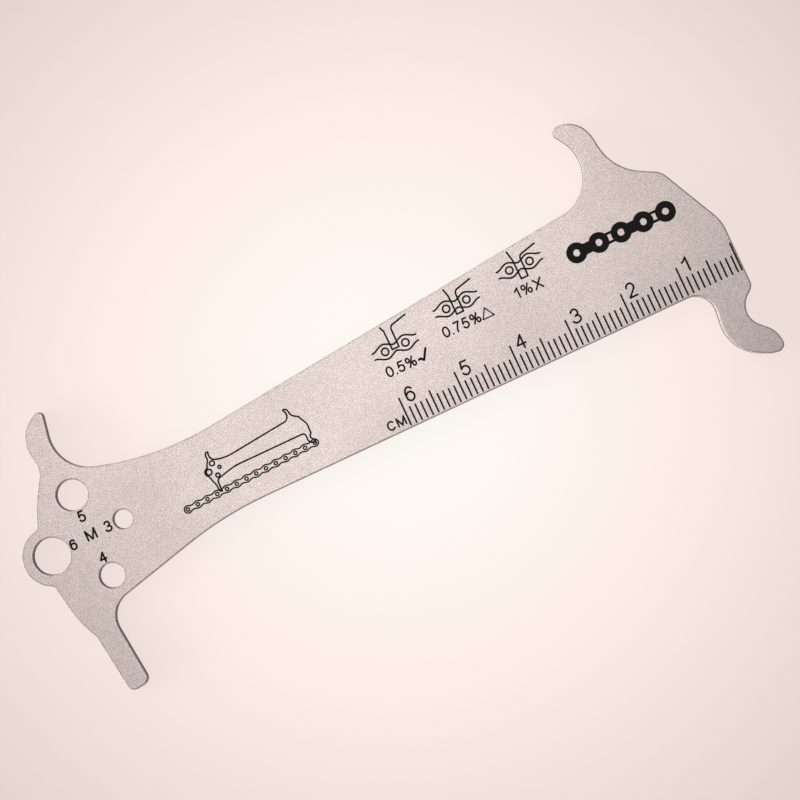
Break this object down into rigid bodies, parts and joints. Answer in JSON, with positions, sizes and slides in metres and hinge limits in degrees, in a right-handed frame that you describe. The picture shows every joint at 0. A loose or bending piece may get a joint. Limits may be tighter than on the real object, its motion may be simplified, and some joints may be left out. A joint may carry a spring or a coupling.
{
  "type": "chain wear gauge",
  "caption": "Flat steel chain wear gauge with a chain-measuring leg, hooks and foot, a millimetre ruler edge and bolt-size holes.",
  "frame": {"origin": "under the middle of the plate's bounding box, on the underside", "axes": "+X along the ruler edge towards the square end where the ruler starts, +Y from the ruler edge towards the hooks, +Z out of the marked face"},
  "size_m": [0.1282, 0.0542, 0.002],
  "materials": {
    "satin_steel": "fine-grained satin stainless with rounded, tumbled edges",
    "dark_marking": "near-black etched marking, matt"
  },
  "bodies": {
    "root": {"gauge_plate": "satin_steel"}
  },
  "joints": []
}
